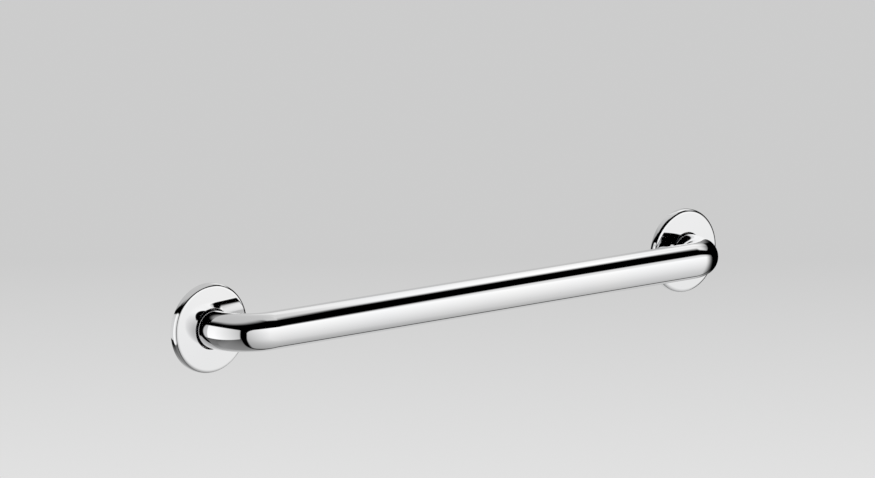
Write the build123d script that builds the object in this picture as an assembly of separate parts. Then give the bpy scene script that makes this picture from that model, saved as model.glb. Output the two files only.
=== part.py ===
from build123d import *
import os

# Wall-mounted grab bar, in millimetres.
# X runs along the bar, +Y points into the wall and +Z is up.
# The wall is the plane Y = 0, and the origin lies on it, midway between the two legs.

# Bar: one bent tube
centre_distance = 600.0
projection = 50.0
tube_diameter = 36.0
tube_wall = 1.5
bend_radius = 35.0
tube_end_recess = 0.5
tube_end_chamfer = 0.4

# Covers: drawn sheet cups with a low cone for a face, and the inside radius of their edge's bend
cover_diameter = 85.0
cover_depth = 8.0
cover_face_rise = 0.8
cover_wall = 1.0
cover_edge_bend = 3.0
cover_hole_clearance = 1.5
cover_hole_rounding = 0.3
cover_rim_rounding = 0.3
cover_wall_gap = 0.3

# Mounting plates, with lugs on the edge that grip the covers' skirts
plate_thickness = 3.0
plate_edge_gap = 0.6
plate_edge_chamfer = 0.4
plate_bore_clearance = 0.1
lug_count = 3
lug_width = 9.0
lug_clearance = 0.1

# Countersunk holes for wall screws
screw_count = 3
screw_hole_diameter = 5.5
screw_head_diameter = 9.5
screw_head_angle = 90.0

# Weld between tube and plate, in a bevel round the plate's bore
weld_bevel = 2.0
weld_crown = 0.6

# Sizes that follow from those above
leg_x = centre_distance / 2
tube_radius = tube_diameter / 2
cover_radius = cover_diameter / 2
cover_inner_radius = cover_radius - cover_wall
cover_hole_radius = tube_radius + cover_hole_clearance
plate_radius = cover_inner_radius - plate_edge_gap
plate_bore_radius = tube_radius + plate_bore_clearance
lug_radius = cover_inner_radius - lug_clearance
weld_toe_radius = plate_bore_radius + weld_bevel
screw_circle_radius = (weld_toe_radius + plate_radius) / 2


def make_tube():
    """The bar: leg, bend, straight grip, bend and leg, open at both ends, with the outer end edges broken."""
    corners = [
        (-leg_x, -tube_end_recess),
        (-leg_x, -projection),
        (leg_x, -projection),
        (leg_x, -tube_end_recess),
    ]
    centre_line = FilletPolyline(*corners, radius=bend_radius)
    section = Circle(tube_radius) - Circle(tube_radius - tube_wall)
    tube = sweep(centre_line.location_at(0) * section, path=centre_line)
    left_end, right_end = tube.faces().filter_by(GeomType.PLANE)
    rims = left_end.outer_wire().edges() + right_end.outer_wire().edges()
    return chamfer(rims, tube_end_chamfer)


def make_cover():
    """A drawn cup: skirt, rounded edge, and a face that rises a little to a hole that clears the tube."""
    back = -cover_wall_gap
    edge = -cover_depth
    front = edge - cover_face_rise
    half_section = Polygon(
        (cover_radius, back),
        (cover_radius, edge),
        (cover_hole_radius, front),
        (cover_hole_radius, front + cover_wall),
        (cover_inner_radius, edge + cover_wall),
        (cover_inner_radius, back),
        align=None,
    )
    roundings = [
        (cover_radius, edge, cover_edge_bend + cover_wall),
        (cover_inner_radius, edge + cover_wall, cover_edge_bend),
        (cover_hole_radius, front, cover_hole_rounding),
        (cover_radius, back, cover_rim_rounding),
        (cover_inner_radius, back, cover_rim_rounding),
    ]
    for radius, y, rounding in roundings:
        corner = half_section.vertices().sort_by_distance((radius, y, 0))[0]
        half_section = fillet(corner, rounding)
    return revolve(half_section, axis=Axis.Y)


def make_plate():
    """The plate on the tube's end: bore with a weld bevel, countersunk screw holes, and lugs on the edge."""
    outline = Circle(plate_radius)
    for spot in PolarLocations(0, lug_count, start_angle=180 / lug_count):
        strip = Rectangle(lug_radius, lug_width, align=(Align.MIN, Align.CENTER))
        outline += (spot * strip) & Circle(lug_radius)
    outline -= Circle(plate_bore_radius)

    # Plane.XZ faces the room, so the plate grows from the wall towards the bar
    plate = extrude(Plane.XZ * outline, plate_thickness)
    front, back = plate.faces().filter_by(Plane.XZ).sort_by(Axis.Y)
    outer_edges = front.outer_wire().edges() + back.outer_wire().edges()
    plate = chamfer(outer_edges, plate_edge_chamfer)
    front = plate.faces().filter_by(Plane.XZ).sort_by(Axis.Y)[0]
    plate = chamfer(front.inner_wires()[0].edges(), weld_bevel)

    for spot in PolarLocations(screw_circle_radius, screw_count):
        hole = CounterSinkHole(
            radius=screw_hole_diameter / 2,
            counter_sink_radius=screw_head_diameter / 2,
            depth=plate_thickness,
            counter_sink_angle=screw_head_angle,
        )
        plate -= Plane.XZ.offset(plate_thickness) * spot * hole
    return plate


def make_weld():
    """The weld ring: it fills the bevel between tube and plate, under a low rounded crown."""
    root = -(plate_thickness - weld_bevel)
    toe = (weld_toe_radius, -plate_thickness)
    crown = (tube_radius, -plate_thickness - weld_crown)
    outline = [
        Line((tube_radius, root), (plate_bore_radius, root)),
        Line((plate_bore_radius, root), toe),
        SagittaArc(toe, crown, weld_crown / 2),
        Line(crown, (tube_radius, root)),
    ]
    return revolve(make_face(outline), axis=Axis.Y)


def write(node, solid):
    export_step(solid, f"parts/{node}.step")


os.makedirs("parts", exist_ok=True)
write("bar_tube", make_tube())

# The left end is the right end mirrored, so one screw of each plate is on its outer side
end_pieces = {"mounting_plate": make_plate(), "weld_bead": make_weld(), "cover": make_cover()}
for name, piece in end_pieces.items():
    write(f"right_{name}", Pos(leg_x, 0, 0) * piece)
    write(f"left_{name}", Pos(-leg_x, 0, 0) * mirror(piece, about=Plane.YZ))
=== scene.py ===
import math
from collections import namedtuple

import bmesh
import bpy
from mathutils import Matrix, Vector


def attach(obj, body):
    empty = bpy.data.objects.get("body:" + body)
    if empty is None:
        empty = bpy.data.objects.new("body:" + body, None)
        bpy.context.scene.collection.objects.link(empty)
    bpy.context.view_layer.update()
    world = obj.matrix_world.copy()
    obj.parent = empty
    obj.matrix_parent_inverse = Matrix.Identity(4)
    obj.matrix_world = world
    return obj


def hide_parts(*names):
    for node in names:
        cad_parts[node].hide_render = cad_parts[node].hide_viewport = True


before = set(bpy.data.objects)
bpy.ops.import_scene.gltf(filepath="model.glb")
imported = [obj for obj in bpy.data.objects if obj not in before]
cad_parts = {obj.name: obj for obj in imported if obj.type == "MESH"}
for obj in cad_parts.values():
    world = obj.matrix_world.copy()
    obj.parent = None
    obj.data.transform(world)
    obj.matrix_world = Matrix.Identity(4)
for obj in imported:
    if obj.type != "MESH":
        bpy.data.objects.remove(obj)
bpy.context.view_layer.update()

# Chrome grab bar in a photo studio. Lengths are in metres, in the part's own frame:
# X runs along the bar, the wall is the plane Y = 0 with the room at -Y, and Z is up.

# The bar's sizes, as in the part's source
LEG_X = 0.300
PROJECTION = 0.050
TUBE_RADIUS = 0.018
TUBE_WALL = 0.0015
TUBE_BORE_RADIUS = TUBE_RADIUS - TUBE_WALL
BEND_RADIUS = 0.035
TUBE_END_RECESS = 0.0005
TUBE_END_CHAMFER = 0.0004

# The covers' sizes, as in the part's source
COVER_RADIUS = 0.0425
COVER_DEPTH = 0.008
COVER_FACE_RISE = 0.0008
COVER_WALL = 0.001
COVER_EDGE_BEND = 0.003
COVER_HOLE_CLEARANCE = 0.0015
COVER_HOLE_RADIUS = TUBE_RADIUS + COVER_HOLE_CLEARANCE
COVER_HOLE_ROUNDING = 0.0003
COVER_RIM_ROUNDING = 0.0003
COVER_WALL_GAP = 0.0003

# The welds' sizes, as in the part's source, and the ripples that the bead's scales make
PLATE_THICKNESS = 0.003
PLATE_BORE_CLEARANCE = 0.0001
PLATE_BORE_RADIUS = TUBE_RADIUS + PLATE_BORE_CLEARANCE
WELD_BEVEL = 0.002
WELD_CROWN = 0.0006
WELD_RIPPLES = 64
WELD_RIPPLE_DEPTH = 0.00022
WELD_RIPPLE_LEAN = 1.6

# How finely the smooth surfaces are divided, and how far from a bend a ring keeps the next face straight
TUBE_SIDES = 160
BEND_STEPS = 72
GRIP_STEPS = 72
LEG_STEPS = 6
COVER_SIDES = 240
BEND_DIVISIONS = 18
SMALL_BEND_DIVISIONS = 8
SUPPORT_RING = 0.0003
SIDES_PER_RIPPLE = 8
WELD_SIDES = SIDES_PER_RIPPLE * WELD_RIPPLES

# Noise: its usual detail, and the values between which most of it lies. Scales are in patches to a metre.
NOISE_DETAIL = 4.0
NOISE_LOW = 0.3
NOISE_HIGH = 0.7

# Chrome: its tints with their places in the noise, and the roughness where it is clear and where hazy
CHROME_TINT_SCALE = 9.0
CHROME_TINTS = [(0.35, (0.885, 0.89, 0.90)), (0.65, (0.905, 0.905, 0.905))]
CHROME_HAZE_SCALE = 45.0
CHROME_HAZE_DETAIL = 6.0
CHROME_HAZE_START = 0.35
CHROME_CLEAR = 0.012
CHROME_HAZY = 0.035

# Bare steel, with marks drawn out along X
BARE_TINT_SCALE = 60.0
BARE_TINTS = [(NOISE_LOW, (0.38, 0.37, 0.36)), (NOISE_HIGH, (0.50, 0.49, 0.48))]
BARE_MARK_SCALE = 700.0
BARE_MARK_STRETCH = (0.03, 1, 1)
BARE_MARK_DEPTH = 0.00002
BARE_ROUGHNESS = (0.32, 0.5)

# The plates' rolled steel, with streaks drawn out along X
STREAK_SCALE = 900.0
STREAK_STRETCH = (0.02, 1, 1)
STREAK_DEPTH = 0.00002
STREAK_SHADE = (0.86, 1.0)
PLATE_ROUGHNESS = (0.28, 0.46)

# Colours that welding leaves on a plate, between two distances from the leg's axis, which wander a little
HEAT_START = 0.020
HEAT_END = 0.034
HEAT_WANDER = 0.0012
HEAT_WANDER_SCALE = 120.0
HEAT_COLOURS = [
    (0.0, (0.30, 0.30, 0.33)),
    (0.18, (0.30, 0.36, 0.50)),
    (0.36, (0.38, 0.27, 0.36)),
    (0.55, (0.52, 0.40, 0.24)),
    (0.85, (0.58, 0.54, 0.45)),
    (1.0, (0.56, 0.56, 0.55)),
]

# Weld metal, with its tints' places in the noise
WELD_TINT_SCALE = 260.0
WELD_TINTS = [(0.32, (0.34, 0.36, 0.42)), (0.5, (0.45, 0.43, 0.41)), (0.7, (0.52, 0.46, 0.36))]
WELD_GRAIN_SCALE = 2500.0
WELD_GRAIN_DEPTH = 0.00003
WELD_ROUGHNESS = (0.28, 0.5)

# Camera, fitted to the outlines in the photograph, with its sensor and lens in millimetres
CAMERA_AZIMUTH = math.radians(39.7846)
CAMERA_ELEVATION = math.radians(10.7152)
CAMERA_DISTANCE = 4.6114
CAMERA_AIM_RIGHT = -0.015722
CAMERA_AIM_UP = 0.047578
CAMERA_SENSOR = 36.0
CAMERA_LENS = 195.61
CAMERA_REACH = 200.0

# Floor, as far below as such a bar is fixed, glowing with painted light instead of being lit, with its glow
# at two distances past the bar
FLOOR_Z = -1.0
FLOOR_HALF = 60.0
FLOOR_NEAR = 3.35
FLOOR_FAR = 5.29
FLOOR_NEAR_GLOW = 0.752
FLOOR_FAR_GLOW = 0.606

# Grey of the world round the studio
WORLD_SHADE = 0.61

# Light panels. The camera doesn't see them and they cast no shadow, but the metal reflects them.
# An edge has a softness, and a rounding of its lower and of its upper corners. A light has a level at the
# left side, a level further right and the way to it, and the share of both at the lower side.
Edge = namedtuple("Edge", "softness foot_rounding top_rounding")
Light = namedtuple("Light", "left right reach foot_share")

# Gap between panels that overlap, rows in a panel that isn't a rectangle, and the middle share of a panel's
# height in which the lower corners' rounding turns into the upper corners'
PANEL_GAP = 0.005
PANEL_STEPS = 12
ROUNDING_BLEND = 0.25

# Front sheet, with its left side askew. The gap between it and the left panel is the dark band on the
# left bend.
FRONT_Y = -1.5
FRONT_LEFT = -1.39
FRONT_RIGHT = 9.0
FRONT_TOP = 0.78
FRONT_SLANT = 0.856
SHEET_BACK_Y = 0.22
SHEET_BEND = 0.5
SHEET_EDGE = Edge(0.08, 0.35, 0.6)
SHEET_LIGHT = Light(0.67, 1.11, 1.4, 0.50)

# Panel that rises behind the sheet's upper edge at the right, with a slanted left side
CORNER_FOOT = 0.3
CORNER_FOOT_LEFT = 0.34
CORNER_TOP = 1.43
CORNER_TOP_LEFT = 1.76
CORNER_EDGE = Edge(0.35, 0.2, 0.2)
CORNER_LIGHT = Light(0.68, 0.68, 1.0, 1.65)

# Two panels at the left, one beside the bar and one further back
LEFT_X = -1.1
LEFT_FOOT = -0.53
LEFT_HEIGHT = 1.02
LEFT_EDGE = Edge(0.08, 0.05, 0.05)
LEFT_START = -0.70
LEFT_LENGTH = 1.4
LEFT_LIGHT = Light(0.55, 1.02, 0.9, 1.1)
LEFT_FAR_START = 0.6
LEFT_FAR_LENGTH = 0.8
LEFT_FAR_LIGHT = Light(0.66, 0.66, 1.0, 1.1)

# Three ceiling panels that reach back to one line, with the left and right ends of their front edges
CEILING_Z = 1.5
CEILING_BACK_Y = 2.3
CEILING_EDGE = Edge(0.25, 0.15, 0.15)
CEILING_MIDDLE_FRONT = ((0.2, -0.50), (0.88, -0.54))
CEILING_MIDDLE_LIGHT = Light(0.62, 0.68, 0.6, 1.0)
CEILING_LEFT_FRONT = ((-1.2, 0.60), (0.3, -0.32))
CEILING_LEFT_LIGHT = Light(0.45, 0.60, 1.5, 1.0)
CEILING_RIGHT_FRONT = ((0.85, -0.20), (3.0, 0.80))
CEILING_RIGHT_EDGE = Edge(0.5, 0.25, 0.25)
CEILING_RIGHT_LIGHT = Light(0.63, 0.73, 0.6, 1.65)

# A fourth ceiling panel at the right end
CEILING_END_CORNER = (1.60, -0.30)
CEILING_END_WIDTH = 1.5
CEILING_END_DEPTH = 1.15
CEILING_END_EDGE = Edge(0.3, 0.35, 0.25)
CEILING_END_LIGHT = Light(0.92, 0.66, 1.4, 1.0)

# A small panel close above the left bend, which lights little else
LOW_Z = 0.14
LOW_CORNER = (-0.40, -0.093)
LOW_WIDTH = 0.20
LOW_DEPTH = 0.293
LOW_EDGE = Edge(0.07, 0.09, 0.05)
LOW_LIGHT = Light(0.53, 0.60, 0.20, 1.0)

# A panel behind the bar, from the floor up
BACK_Y = 2.0
BACK_LEFT = -1.3
BACK_WIDTH = 4.8
BACK_HEIGHT = 2.6
BACK_EDGE = Edge(0.15, 0.1, 0.1)
BACK_LIGHT = Light(0.40, 0.56, 2.5, 1.1)

# Three panels in the floor: askew at the left, behind the bar, and in the corner between those two
LEFT_FLOOR_CORNER = (-4.82, -1.8)
LEFT_FLOOR_WIDTH = 2.5
LEFT_FLOOR_RUN = (2.7, 2.25)
LEFT_FLOOR_EDGE = Edge(0.06, 0.05, 0.05)
LEFT_FLOOR_LIGHT = Light(0.0, 0.29, 1.65, 0.0)
BACK_FLOOR_CORNER = (-1.25, 0.38)
BACK_FLOOR_WIDTH = 5.85
BACK_FLOOR_DEPTH = 3.1
BACK_FLOOR_LIGHT = Light(0.0, 0.62, 1.8, 1.0)
CORNER_FLOOR_CORNER = (-1.75, 0.42)
CORNER_FLOOR_WIDTH = 0.95
CORNER_FLOOR_DEPTH = 0.55
CORNER_FLOOR_EDGE = Edge(0.1, 0.05, 0.05)
CORNER_FLOOR_LIGHT = Light(0.13, 0.19, 0.95, 1.0)

# A dark screen at the right, from back to front
SCREEN_X = 1.4
SCREEN_START = 1.15
SCREEN_LENGTH = 1.65
SCREEN_FOOT = -0.91
SCREEN_HEIGHT = 1.63
SCREEN_EDGE = Edge(0.65, 0.8, 0.8)
SCREEN_LIGHT = Light(0.0, 0.0, 1.0, 1.0)


# Objects and meshes


def new_object(name, data):
    """An object with that mesh or camera, in the scene."""
    made = bpy.data.objects.new(name, data)
    bpy.context.scene.collection.objects.link(made)
    return made


def new_mesh(name, bm):
    """The finished bmesh as a mesh."""
    mesh = bpy.data.meshes.new(name)
    bm.to_mesh(mesh)
    bm.free()
    return mesh


def arc(centre, radius, start, end, steps):
    """Points of an arc in a half section, from one angle in degrees to another, both ends included."""
    points = []
    for i in range(steps + 1):
        angle = math.radians(start + (end - start) * i / steps)
        points.append((centre[0] + radius * math.cos(angle), centre[1] + radius * math.sin(angle)))
    return points


def loft(name, rings, sharp=(), inner=()):
    """A smooth closed mesh through rings of equal length.

    The rings in sharp are hard edges.
    The bands that start at a ring in inner get the second material.
    """
    bm = bmesh.new()
    loops = [[bm.verts.new(point) for point in ring] for ring in rings]
    sides = len(rings[0])
    for i, a in enumerate(loops):
        b = loops[(i + 1) % len(loops)]
        for j in range(sides):
            k = (j + 1) % sides
            face = bm.faces.new((a[j], a[k], b[k], b[j]))
            face.smooth = True
            face.material_index = int(i in inner)
    for i in sharp:
        for j in range(sides):
            bm.edges.get((loops[i][j], loops[i][(j + 1) % sides])).smooth = False
    bmesh.ops.recalc_face_normals(bm, faces=bm.faces)
    return new_mesh(name, bm)


def bar_axis():
    """The tube's centre line from the right wall end to the left one: points and outward normals."""
    run = PROJECTION - BEND_RADIUS
    bend_x = LEG_X - BEND_RADIUS
    stations = []
    for i in range(LEG_STEPS):
        y = -TUBE_END_RECESS - (run - TUBE_END_RECESS) * i / LEG_STEPS
        stations.append((Vector((LEG_X, y, 0)), Vector((1, 0, 0))))
    for i in range(BEND_STEPS):
        angle = -math.pi / 2 * i / BEND_STEPS
        normal = Vector((math.cos(angle), math.sin(angle), 0))
        stations.append((Vector((bend_x, -run, 0)) + normal * BEND_RADIUS, normal))
    for i in range(GRIP_STEPS // 2):
        x = bend_x * (1 - 2 * i / GRIP_STEPS)
        stations.append((Vector((x, -PROJECTION, 0)), Vector((0, -1, 0))))
    middle = [(Vector((0, -PROJECTION, 0)), Vector((0, -1, 0)))]
    flip = Vector((-1, 1, 1))
    left = [(point * flip, normal * flip) for point, normal in reversed(stations)]
    return stations + middle + left


def tube_ring(station, radius, back=0.0):
    """One ring round the tube's centre line, moved along Y by back."""
    point, normal = station
    ring = []
    for j in range(TUBE_SIDES):
        angle = 2 * math.pi * j / TUBE_SIDES
        spot = point + normal * (radius * math.cos(angle))
        ring.append((spot.x, spot.y + back, radius * math.sin(angle)))
    return ring


def make_bar():
    """The bent tube with its bore, its outer end edges broken by a small chamfer."""
    stations = bar_axis()
    outside = [tube_ring(s, TUBE_RADIUS) for s in stations[1:-1]]
    first_edge = tube_ring(stations[0], TUBE_RADIUS, -TUBE_END_CHAMFER)
    last_edge = tube_ring(stations[-1], TUBE_RADIUS, -TUBE_END_CHAMFER)
    first_face = tube_ring(stations[0], TUBE_RADIUS - TUBE_END_CHAMFER)
    last_face = tube_ring(stations[-1], TUBE_RADIUS - TUBE_END_CHAMFER)
    bore = [tube_ring(s, TUBE_BORE_RADIUS) for s in reversed(stations)]
    rings = [first_face, first_edge] + outside + [last_edge, last_face] + bore
    last = len(outside) + 2
    sharp = (0, 1, last, last + 1, last + 2, len(rings) - 1)
    return loft("bar", rings, sharp, range(last + 1, len(rings)))


def rounding_centre(radius, corner, slope, rounding):
    """The centre, at that radius, of a rounding against the line that slopes through the corner."""
    return radius, corner[1] + ((radius - corner[0]) * math.sin(slope) + rounding) / math.cos(slope)


def cover_section():
    """The cover's closed half section as (radius, y), and the index of the sharp corner in its hole."""
    back = -COVER_WALL_GAP
    rim = COVER_RIM_ROUNDING
    hole = COVER_HOLE_RADIUS
    outer = (COVER_RADIUS, -COVER_DEPTH)
    inner = (COVER_RADIUS - COVER_WALL, -COVER_DEPTH + COVER_WALL)
    bend = COVER_EDGE_BEND + COVER_WALL
    slope = math.atan2(COVER_FACE_RISE, outer[0] - hole)
    inner_slope = math.atan2(COVER_FACE_RISE, inner[0] - hole)
    turn = math.degrees(slope) - 90
    edge_centre = rounding_centre(outer[0] - bend, outer, slope, bend)
    hole_centre = rounding_centre(hole + COVER_HOLE_ROUNDING, outer, slope, COVER_HOLE_ROUNDING)
    inner_centre = rounding_centre(inner[0] - COVER_EDGE_BEND, inner, inner_slope, COVER_EDGE_BEND)
    step = Vector((-math.cos(slope), -math.sin(slope))) * SUPPORT_RING
    edge_arc = arc(edge_centre, bend, 0, turn, BEND_DIVISIONS)
    hole_arc = arc(hole_centre, COVER_HOLE_ROUNDING, turn, -180, SMALL_BEND_DIVISIONS)
    inner_arc = arc(inner_centre, COVER_EDGE_BEND, math.degrees(inner_slope) - 90, 0, BEND_DIVISIONS)
    points = arc((COVER_RADIUS - rim, back - rim), rim, 90, 0, SMALL_BEND_DIVISIONS) + edge_arc
    points.append(tuple(Vector(edge_arc[-1]) + step))
    points.append(tuple(Vector(hole_arc[0]) - step))
    points += hole_arc
    points.append((hole, inner[1] - COVER_FACE_RISE))
    corner = len(points) - 1
    points.append(tuple(Vector(inner_arc[0]) + step))
    points += inner_arc
    points += arc((inner[0] + rim, back - rim), rim, 180, 90, SMALL_BEND_DIVISIONS)
    return points, corner


def turned_ring(x, radius, y, sides):
    """A ring of points round the leg at x."""
    ring = []
    for j in range(sides):
        angle = 2 * math.pi * j / sides
        ring.append((x + radius * math.cos(angle), y, radius * math.sin(angle)))
    return ring


def make_cover(name, x):
    """A drawn cover on the leg at x, bright outside and dull inside."""
    section, corner = cover_section()
    rings = [turned_ring(x, radius, y, COVER_SIDES) for radius, y in section]
    return loft(name, rings, (corner,), range(corner, len(section) - 1))


def make_weld(name, x):
    """The weld ring in the plate's bevel, with the scales of a bead laid round the tube at x."""
    root = -(PLATE_THICKNESS - WELD_BEVEL)
    toe = Vector((PLATE_BORE_RADIUS + WELD_BEVEL, -PLATE_THICKNESS))
    crown = Vector((TUBE_RADIUS, -PLATE_THICKNESS - WELD_CROWN))
    outward = Vector((WELD_CROWN, toe.x - crown.x)).normalized() * -1
    rings = [
        turned_ring(x, TUBE_RADIUS, root, WELD_SIDES),
        turned_ring(x, PLATE_BORE_RADIUS, root, WELD_SIDES),
    ]
    # The bead's top is a parabola over the line from the toe to the tube, lower between the scales
    for i in range(SMALL_BEND_DIVISIONS + 1):
        t = i / SMALL_BEND_DIVISIONS
        ring = []
        for j in range(WELD_SIDES):
            angle = 2 * math.pi * j / WELD_SIDES
            scale = abs(math.sin(WELD_RIPPLES * angle / 2 + WELD_RIPPLE_LEAN * t * (1 - t)))
            rise = WELD_CROWN / 2 - WELD_RIPPLE_DEPTH * (1 - scale)
            spot = toe.lerp(crown, t) + outward * (4 * rise * t * (1 - t))
            ring.append((x + spot.x * math.cos(angle), spot.y, spot.x * math.sin(angle)))
        rings.append(ring)
    return loft(name, rings, (0, 1, 2, len(rings) - 1))


# Shader nodes


def add_node(tree, kind, values=None, **settings):
    """A shader node with its settings; each value is a number, a colour or an output of another node."""
    node = tree.nodes.new(kind)
    for key, setting in settings.items():
        setattr(node, key, setting)
    for key, value in (values or {}).items():
        if isinstance(value, bpy.types.NodeSocket):
            tree.links.new(value, node.inputs[key])
        else:
            node.inputs[key].default_value = value
    return node


def calculate(tree, operation, *values):
    """The result of a Math node."""
    node = add_node(tree, "ShaderNodeMath", dict(enumerate(values)), operation=operation)
    return node.outputs[0]


def calculate_vector(tree, operation, values, output="Vector"):
    """A result of a Vector Math node."""
    return add_node(tree, "ShaderNodeVectorMath", values, operation=operation).outputs[output]


def remap(tree, value, start, end, low, high, smooth=False):
    """A value taken from the range start to end into the range low to high."""
    kind = "SMOOTHSTEP" if smooth else "LINEAR"
    values = {"Value": value, "From Min": start, "From Max": end, "To Min": low, "To Max": high}
    return add_node(tree, "ShaderNodeMapRange", values, interpolation_type=kind).outputs["Result"]


def noise(tree, place, scale, stretch=(1, 1, 1), detail=NOISE_DETAIL):
    """Noise over the surface, finer along the axes with more stretch."""
    spot = calculate_vector(tree, "MULTIPLY", {0: place, 1: stretch})
    values = {"Vector": spot, "Scale": scale, "Detail": detail}
    return add_node(tree, "ShaderNodeTexNoise", values).outputs["Fac"]


def spread(tree, pattern, low, high):
    """A noise pattern taken into the range low to high."""
    return remap(tree, pattern, NOISE_LOW, NOISE_HIGH, low, high)


def ramp(tree, value, stops):
    """A colour by value, from stops of position and colour."""
    node = add_node(tree, "ShaderNodeValToRGB", {"Fac": value})
    marks = node.color_ramp.elements
    while len(marks) < len(stops):
        marks.new(1.0)
    for mark, (position, colour) in zip(marks, stops):
        mark.position = position
        mark.color = (*colour, 1)
    return node.outputs["Color"]


def empty_material(name):
    """A material without nodes, and its node tree."""
    material = bpy.data.materials.new(name)
    material.use_nodes = True
    material.node_tree.nodes.clear()
    return material, material.node_tree


def surface(tree, shader):
    """The tree's surface is that shader."""
    add_node(tree, "ShaderNodeOutputMaterial", {"Surface": shader.outputs[0]})


def metal(tree, colour, roughness, normal=None):
    """A metal surface of that colour and roughness."""
    values = {"Base Color": colour, "Metallic": 1.0, "Roughness": roughness}
    if normal is not None:
        values["Normal"] = normal
    surface(tree, add_node(tree, "ShaderNodeBsdfPrincipled", values))


def bump(tree, height, distance):
    """Surface relief of that height pattern, at most distance deep."""
    return add_node(tree, "ShaderNodeBump", {"Height": height, "Distance": distance}).outputs["Normal"]


def object_place(tree):
    """Points of the surface in the object's own frame."""
    return add_node(tree, "ShaderNodeTexCoord").outputs["Object"]


# Materials of the pieces


def chrome_material():
    """Bright chrome: a slightly cool mirror, with the faint haze of a wiped surface in its gloss."""
    material, tree = empty_material("chrome")
    place = object_place(tree)
    tint = ramp(tree, noise(tree, place, CHROME_TINT_SCALE), CHROME_TINTS)
    haze = noise(tree, place, CHROME_HAZE_SCALE, detail=CHROME_HAZE_DETAIL)
    metal(tree, tint, remap(tree, haze, CHROME_HAZE_START, NOISE_HIGH, CHROME_CLEAR, CHROME_HAZY))
    return material


def bare_steel_material():
    """Unplated steel inside the tube and the covers: dull, with fine marks from drawing."""
    material, tree = empty_material("bare_steel")
    place = object_place(tree)
    marks = noise(tree, place, BARE_MARK_SCALE, BARE_MARK_STRETCH)
    tint = ramp(tree, noise(tree, place, BARE_TINT_SCALE), BARE_TINTS)
    metal(tree, tint, spread(tree, marks, *BARE_ROUGHNESS), bump(tree, marks, BARE_MARK_DEPTH))
    return material


def plate_material(name, x):
    """Rolled steel with fine streaks, and the colours that welding leaves round the leg at x."""
    material, tree = empty_material(name)
    place = object_place(tree)
    streaks = noise(tree, place, STREAK_SCALE, STREAK_STRETCH)
    from_leg = calculate_vector(tree, "SUBTRACT", {0: place, 1: (x, 0, 0)})
    flat = calculate_vector(tree, "MULTIPLY", {0: from_leg, 1: (1, 0, 1)})
    radius = calculate_vector(tree, "LENGTH", {0: flat}, "Value")
    wander = spread(tree, noise(tree, place, HEAT_WANDER_SCALE), -HEAT_WANDER, HEAT_WANDER)
    heat = remap(tree, calculate(tree, "ADD", radius, wander), HEAT_START, HEAT_END, 0, 1)
    colour = ramp(tree, heat, HEAT_COLOURS)
    shade = spread(tree, streaks, *STREAK_SHADE)
    mixed = calculate_vector(tree, "SCALE", {0: colour, "Scale": shade})
    metal(tree, mixed, spread(tree, streaks, *PLATE_ROUGHNESS), bump(tree, streaks, STREAK_DEPTH))
    return material


def weld_material():
    """Bare weld metal: grey with patches of blue and straw."""
    material, tree = empty_material("weld")
    place = object_place(tree)
    patches = noise(tree, place, WELD_TINT_SCALE)
    tint = ramp(tree, patches, WELD_TINTS)
    grain = noise(tree, place, WELD_GRAIN_SCALE)
    metal(tree, tint, spread(tree, patches, *WELD_ROUGHNESS), bump(tree, grain, WELD_GRAIN_DEPTH))
    return material


# Light panels


def soft_mask(tree, across, along, width, height, edge):
    """1 inside a rounded rectangle and 0 outside it, with a soft change between them."""
    blend = height * ROUNDING_BLEND / 2
    rounding = remap(tree, along, -blend, blend, edge.foot_rounding, edge.top_rounding)
    beyond = []
    for value, half in ((across, width / 2), (along, height / 2)):
        inset = calculate(tree, "SUBTRACT", half, rounding)
        over = calculate(tree, "SUBTRACT", calculate(tree, "ABSOLUTE", value), inset)
        beyond.append(calculate(tree, "POWER", calculate(tree, "MAXIMUM", over, 0.0), 2.0))
    reached = calculate(tree, "SQRT", calculate(tree, "ADD", *beyond))
    outside = calculate(tree, "SUBTRACT", reached, rounding)
    return remap(tree, outside, edge.softness / 2, -edge.softness / 2, 0, 1, smooth=True)


def panel_material(name, width, height, edge, light):
    """Light from a rounded rectangle with soft edges, and nothing round it."""
    material, tree = empty_material(name)
    place = add_node(tree, "ShaderNodeTexCoord").outputs["UV"]
    split = add_node(tree, "ShaderNodeSeparateXYZ", {"Vector": place})
    across = split.outputs["X"]
    along = split.outputs["Y"]
    mask = soft_mask(tree, across, along, width, height, edge)
    level = remap(tree, across, -width / 2, light.reach - width / 2, light.left, light.right)
    share = remap(tree, along, -height / 2, height / 2, light.foot_share, 1.0)
    glow = add_node(tree, "ShaderNodeEmission", {"Strength": calculate(tree, "MULTIPLY", level, share)})
    clear = add_node(tree, "ShaderNodeBsdfTransparent")
    values = {"Fac": mask, 1: clear.outputs[0], 2: glow.outputs[0]}
    surface(tree, add_node(tree, "ShaderNodeMixShader", values))
    return material


def row_heights(rows):
    """How far up the panel each row lies, measured along its left side as seen along X."""
    heights = [0.0]
    for before, after in zip(rows, rows[1:]):
        heights.append(heights[-1] + (after[0].yz - before[0].yz).length)
    return heights


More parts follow.
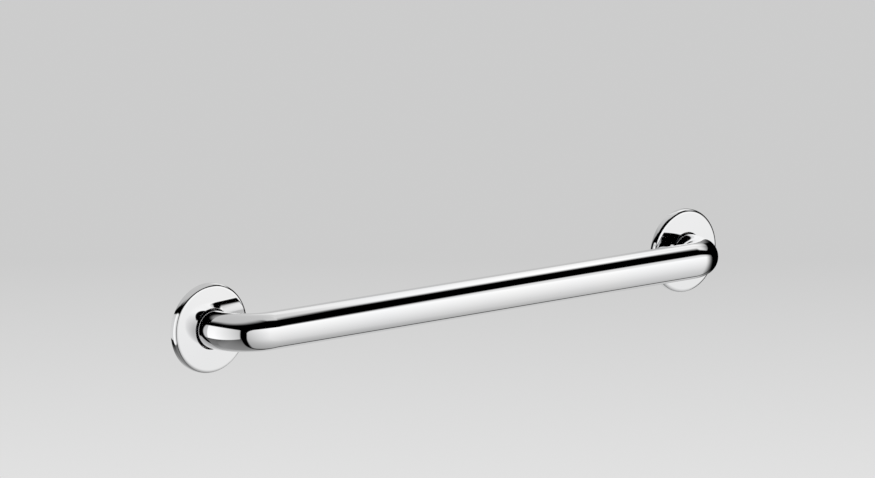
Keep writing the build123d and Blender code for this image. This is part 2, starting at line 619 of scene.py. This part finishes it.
def panel_mesh(name, rows, heights, width, margin):
    """A panel's faces, grown by a margin for its soft edges, with a UV map in metres from its middle."""
    bm = bmesh.new()
    layer = bm.loops.layers.uv.new("panel")
    spots = []
    for i, (left, right) in enumerate(rows):
        side = (right - left).normalized() * margin
        v = heights[i] - heights[-1] / 2
        shift = Vector((0, 0, 0))
        if i == 0:
            shift = (rows[0][0] - rows[1][0]).normalized() * margin
            v -= margin
        if i == len(rows) - 1:
            shift = (rows[-1][0] - rows[-2][0]).normalized() * margin
            v += margin
        spots.append((bm.verts.new(left - side + shift), bm.verts.new(right + side + shift), v))
    u = width / 2 + margin
    for (a, b, v), (c, d, w) in zip(spots, spots[1:]):
        face = bm.faces.new((a, b, d, c))
        for loop, uv in zip(face.loops, ((-u, v), (u, v), (u, w), (-u, w))):
            loop[layer].uv = uv
    return new_mesh(name, bm)


def add_panel(name, rows, edge, light):
    """A light panel through rows of (left, right) points, lower side first."""
    heights = row_heights(rows)
    width = (rows[0][1] - rows[0][0]).length
    mesh = panel_mesh(name, rows, heights, width, edge.softness / 2)
    mesh.materials.append(panel_material(name, width, heights[-1], edge, light))
    panel = new_object(name, mesh)
    panel.visible_camera = False
    panel.visible_shadow = False


def flat_rows(corner, across, up):
    """The two rows of a flat panel, from its lower left corner and its two sides."""
    corner = Vector(corner)
    across = Vector(across)
    up = Vector(up)
    return [(corner, corner + across), (corner + up, corner + across + up)]


def upright_rows(start, along, foot, height):
    """The rows of an upright panel, from its left end on plan and the way to its right end."""
    return flat_rows((*start, foot), (*along, 0), (0, 0, height))


def level_rows(corner, width, run, z):
    """The rows of a level panel, from its left front corner, its width and the way to its back edge."""
    return flat_rows((*corner, z), (width, 0, 0), (*run, 0))


def ruled_rows(lower, upper):
    """The rows of a flat panel between two edges, each given by its left and right ends."""
    rows = []
    for i in range(PANEL_STEPS + 1):
        t = i / PANEL_STEPS
        rows.append(tuple(Vector(a).lerp(Vector(b), t) for a, b in zip(lower, upper)))
    return rows


def ceiling_rows(front, z):
    """The rows of a ceiling panel, from its front edge to the line where the ceiling ends."""
    left, right = front
    lower = ((*left, z), (*right, z))
    upper = ((left[0], CEILING_BACK_Y, z), (right[0], CEILING_BACK_Y, z))
    return ruled_rows(lower, upper)


def sheet_rows():
    """The front sheet: from behind the bar along the floor, up in a bend and on in front of it."""
    bend_y = FRONT_Y + SHEET_BEND
    bend_z = FLOOR_Z + SHEET_BEND
    profile = [(SHEET_BACK_Y, FLOOR_Z), (bend_y, FLOOR_Z)]
    profile += arc((bend_y, bend_z), SHEET_BEND, 270, 180, BEND_DIVISIONS)[1:]
    profile.append((FRONT_Y, FRONT_TOP))
    rows = []
    for y, z in profile:
        left = FRONT_LEFT + FRONT_SLANT * (y - FRONT_Y)
        rows.append((Vector((left, y, z)), Vector((left + FRONT_RIGHT - FRONT_LEFT, y, z))))
    return rows


def add_front_panels():
    """The front sheet, and the panel that rises behind its upper edge at the right."""
    add_panel("front_sheet", sheet_rows(), SHEET_EDGE, SHEET_LIGHT)
    y = FRONT_Y - PANEL_GAP
    lower = ((CORNER_FOOT_LEFT, y, CORNER_FOOT), (FRONT_RIGHT, y, CORNER_FOOT))
    upper = ((CORNER_TOP_LEFT, y, CORNER_TOP), (FRONT_RIGHT, y, CORNER_TOP))
    add_panel("front_corner", ruled_rows(lower, upper), CORNER_EDGE, CORNER_LIGHT)


def add_left_panels():
    """The panel at the left beside the bar, and the one further back."""
    near = upright_rows((LEFT_X, LEFT_START), (0, LEFT_LENGTH), LEFT_FOOT, LEFT_HEIGHT)
    add_panel("left_panel", near, LEFT_EDGE, LEFT_LIGHT)
    far_start = (LEFT_X - PANEL_GAP, LEFT_FAR_START)
    far = upright_rows(far_start, (0, LEFT_FAR_LENGTH), LEFT_FOOT, LEFT_HEIGHT)
    add_panel("left_far", far, LEFT_EDGE, LEFT_FAR_LIGHT)


def add_upper_panels():
    """The ceiling panels, each at a height of its own, and the low panel above the left bend."""
    middle = ceiling_rows(CEILING_MIDDLE_FRONT, CEILING_Z)
    add_panel("ceiling_panel", middle, CEILING_EDGE, CEILING_MIDDLE_LIGHT)
    left = ceiling_rows(CEILING_LEFT_FRONT, CEILING_Z + PANEL_GAP)
    add_panel("ceiling_left", left, CEILING_EDGE, CEILING_LEFT_LIGHT)
    low = level_rows(LOW_CORNER, LOW_WIDTH, (0, LOW_DEPTH), LOW_Z)
    add_panel("low_panel", low, LOW_EDGE, LOW_LIGHT)
    right = ceiling_rows(CEILING_RIGHT_FRONT, CEILING_Z - PANEL_GAP)
    add_panel("ceiling_light", right, CEILING_RIGHT_EDGE, CEILING_RIGHT_LIGHT)
    end_z = CEILING_Z - 2 * PANEL_GAP
    end = level_rows(CEILING_END_CORNER, CEILING_END_WIDTH, (0, CEILING_END_DEPTH), end_z)
    add_panel("ceiling_end", end, CEILING_END_EDGE, CEILING_END_LIGHT)


def add_back_panel():
    """The panel behind the bar."""
    back = upright_rows((BACK_LEFT, BACK_Y), (BACK_WIDTH, 0), FLOOR_Z, BACK_HEIGHT)
    add_panel("back_panel", back, BACK_EDGE, BACK_LIGHT)


def add_floor_panels():
    """The panels in the floor, each at a height of its own."""
    left = level_rows(LEFT_FLOOR_CORNER, LEFT_FLOOR_WIDTH, LEFT_FLOOR_RUN, FLOOR_Z - PANEL_GAP)
    add_panel("left_floor", left, LEFT_FLOOR_EDGE, LEFT_FLOOR_LIGHT)
    back_z = FLOOR_Z - 2 * PANEL_GAP
    back = level_rows(BACK_FLOOR_CORNER, BACK_FLOOR_WIDTH, (0, BACK_FLOOR_DEPTH), back_z)
    add_panel("back_floor", back, BACK_EDGE, BACK_FLOOR_LIGHT)
    corner = level_rows(CORNER_FLOOR_CORNER, CORNER_FLOOR_WIDTH, (0, CORNER_FLOOR_DEPTH), FLOOR_Z)
    add_panel("corner_floor", corner, CORNER_FLOOR_EDGE, CORNER_FLOOR_LIGHT)


def add_screen():
    """The dark screen at the right."""
    screen = upright_rows((SCREEN_X, SCREEN_START), (0, -SCREEN_LENGTH), SCREEN_FOOT, SCREEN_HEIGHT)
    add_panel("dark_screen", screen, SCREEN_EDGE, SCREEN_LIGHT)


# Floor, world and camera


def add_floor():
    """A pale floor that glows with painted light instead of being lit, painted a little lighter towards the
    camera.
    """
    bm = bmesh.new()
    bmesh.ops.create_grid(bm, x_segments=1, y_segments=1, size=FLOOR_HALF)
    mesh = new_mesh("floor", bm)
    material, tree = empty_material("floor")
    sight = (math.sin(CAMERA_AZIMUTH), math.cos(CAMERA_AZIMUTH), 0)
    depth = calculate_vector(tree, "DOT_PRODUCT", {0: object_place(tree), 1: sight}, "Value")
    # Painted light: the floor's own glow is brighter nearer the camera and dimmer further off, standing in
    # for light falloff
    shade = remap(tree, depth, FLOOR_NEAR, FLOOR_FAR, FLOOR_NEAR_GLOW, FLOOR_FAR_GLOW)
    surface(tree, add_node(tree, "ShaderNodeEmission", {"Strength": shade}))
    mesh.materials.append(material)
    floor = new_object("floor", mesh)
    floor.location.z = FLOOR_Z
    floor.visible_glossy = False


def add_world():
    """A pale grey surround, which mirrors don't show."""
    world = bpy.data.worlds.new("studio")
    bpy.context.scene.world = world
    world.use_nodes = True
    shade = world.node_tree.nodes["Background"].inputs["Color"]
    shade.default_value = (WORLD_SHADE, WORLD_SHADE, WORLD_SHADE, 1)
    world.cycles_visibility.glossy = False


def add_camera():
    """The photograph's viewpoint: azimuth, elevation and distance from a point near the bar's middle."""
    level = math.cos(CAMERA_ELEVATION)
    forward = Vector((
        math.sin(CAMERA_AZIMUTH) * level,
        math.cos(CAMERA_AZIMUTH) * level,
        -math.sin(CAMERA_ELEVATION),
    ))
    right = Vector((math.cos(CAMERA_AZIMUTH), -math.sin(CAMERA_AZIMUTH), 0))
    aim = right * CAMERA_AIM_RIGHT + Vector((0, 0, CAMERA_AIM_UP))
    lens = bpy.data.cameras.new("camera")
    lens.sensor_fit = "HORIZONTAL"
    lens.sensor_width = CAMERA_SENSOR
    lens.lens = CAMERA_LENS
    lens.clip_end = CAMERA_REACH
    camera = new_object("camera", lens)
    camera.location = aim - forward * CAMERA_DISTANCE
    camera.rotation_mode = "QUATERNION"
    camera.rotation_quaternion = forward.to_track_quat("-Z", "Y")
    bpy.context.scene.camera = camera


# The bar's pieces, and the whole scene


def dress(name, mesh, materials, node):
    """A piece that stands for a CAD node."""
    for material in materials:
        mesh.materials.append(material)
    piece = new_object(name, mesh)
    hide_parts(node)
    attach(piece, "root")


def paint(node, material):
    """A CAD node that keeps its shape gets that material."""
    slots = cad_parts[node].data.materials
    slots.clear()
    slots.append(material)


def add_pieces():
    """The bar's pieces: tube, covers and welds as new meshes, and the plates as the CAD model has them."""
    chrome = chrome_material()
    bare = bare_steel_material()
    weld = weld_material()
    dress("chrome_bar", make_bar(), (chrome, bare), "bar_tube")
    for side, x in (("left", -LEG_X), ("right", LEG_X)):
        cover = make_cover(f"cover_{side}", x)
        dress(f"chrome_cover_{side}", cover, (chrome, bare), f"{side}_cover")
        dress(f"weld_{side}", make_weld(f"weld_{side}", x), (weld,), f"{side}_weld_bead")
        paint(f"{side}_mounting_plate", plate_material(f"plate_{side}", x))


bpy.context.scene.view_settings.view_transform = "Standard"
add_camera()
add_floor()
add_world()
add_front_panels()
add_left_panels()
add_upper_panels()
add_back_panel()
add_floor_panels()
add_screen()
add_pieces()
